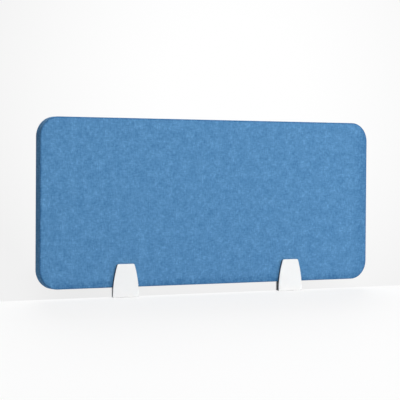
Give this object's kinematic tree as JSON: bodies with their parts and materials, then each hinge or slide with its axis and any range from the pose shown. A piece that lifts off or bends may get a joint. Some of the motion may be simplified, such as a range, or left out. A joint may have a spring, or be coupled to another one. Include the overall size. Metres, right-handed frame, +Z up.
{
  "type": "desk divider screen",
  "caption": "Rounded rectangular fabric-covered acoustic panel that stands up from a desk edge in tapered screw clamps.",
  "frame": {"origin": "on the desk-top's rear upper edge, midway along the panel: z = 0 is the desk-top, y = 0 its rear edge", "axes": "+X along the panel to the viewer's right, -Y towards the person at the desk, +Z up"},
  "size_m": [1.4, 0.0667, 0.752],
  "materials": {
    "frame_wood": "sanded medium-density board",
    "dowel_wood": "beech",
    "core_felt": "dense recycled felt",
    "wadding": "white polyester wadding",
    "cover_fabric": "blue melange woven upholstery fabric",
    "band_fabric": "the same blue melange fabric",
    "plate_paint": "satin white powder coat",
    "bracket_paint": "satin white powder coat",
    "pad_rubber": "black rubber",
    "block_nylon": "black glass-filled nylon",
    "knob_nylon": "black nylon",
    "cap_nylon": "pale grey nylon",
    "fastener_steel": "zinc plated steel",
    "insert_brass": "turned brass"
  },
  "bodies": {
    "screen": {"bottom_rail": "frame_wood", "top_rail": "frame_wood", "left_stile": "frame_wood", "right_stile": "frame_wood", "bottom_left_corner": "frame_wood", "bottom_right_corner": "frame_wood", "top_left_corner": "frame_wood", "top_right_corner": "frame_wood", "left_stud": "frame_wood", "right_stud": "frame_wood", "frame_dowels": "dowel_wood", "left_core": "core_felt", "middle_core": "core_felt", "right_core": "core_felt", "front_wadding": "wadding", "rear_wadding": "wadding", "front_cover": "cover_fabric", "rear_cover": "cover_fabric", "edge_band": "band_fabric", "left_front_plate": "plate_paint", "left_front_pad": "pad_rubber", "left_bolt_inserts": "insert_brass", "left_saddle_block": "block_nylon", "left_foot_pad": "pad_rubber", "left_rear_bracket": "bracket_paint", "left_rear_pad": "pad_rubber", "left_edge_buffer": "pad_rubber", "left_cross_bolts": "fastener_steel", "left_panel_screws": "fastener_steel", "left_screw_bush": "fastener_steel", "right_front_plate": "plate_paint", "right_front_pad": "pad_rubber", "right_bolt_inserts": "insert_brass", "right_saddle_block": "block_nylon", "right_foot_pad": "pad_rubber", "right_rear_bracket": "bracket_paint", "right_rear_pad": "pad_rubber", "right_edge_buffer": "pad_rubber", "right_cross_bolts": "fastener_steel", "right_panel_screws": "fastener_steel", "right_screw_bush": "fastener_steel"},
    "left_jaw": {"left_pressure_plate": "fastener_steel", "left_pressure_pad": "pad_rubber"},
    "right_jaw": {"right_pressure_plate": "fastener_steel", "right_pressure_pad": "pad_rubber"},
    "left_screw": {"left_retaining_clip": "fastener_steel", "left_clamp_screw": "fastener_steel", "left_knob": "knob_nylon", "left_knob_cap": "cap_nylon"},
    "right_screw": {"right_retaining_clip": "fastener_steel", "right_clamp_screw": "fastener_steel", "right_knob": "knob_nylon", "right_knob_cap": "cap_nylon"}
  },
  "joints": [
    {"name": "left_jaw_travel", "type": "slide", "parent": "screen", "child": "left_jaw", "axis": [0, 0, 1], "range_m": [-0.015, 0.015]},
    {"name": "left_knob_turn", "type": "hinge", "parent": "left_jaw", "child": "left_screw", "pos_m": [-0.367, -0.032, -0.1], "axis": [0, 0, 1], "range_deg": [-3600, 3600]},
    {"name": "right_jaw_travel", "type": "slide", "parent": "screen", "child": "right_jaw", "axis": [0, 0, 1], "range_m": [-0.015, 0.015]},
    {"name": "right_knob_turn", "type": "hinge", "parent": "right_jaw", "child": "right_screw", "pos_m": [0.338, -0.032, -0.1], "axis": [0, 0, 1], "range_deg": [-3600, 3600]}
  ],
  "couplings": [
    {"joint": "left_jaw_travel", "follows": "left_knob_turn", "m_per_rad": 0.00023873},
    {"joint": "right_jaw_travel", "follows": "right_knob_turn", "m_per_rad": 0.00023873}
  ]
}
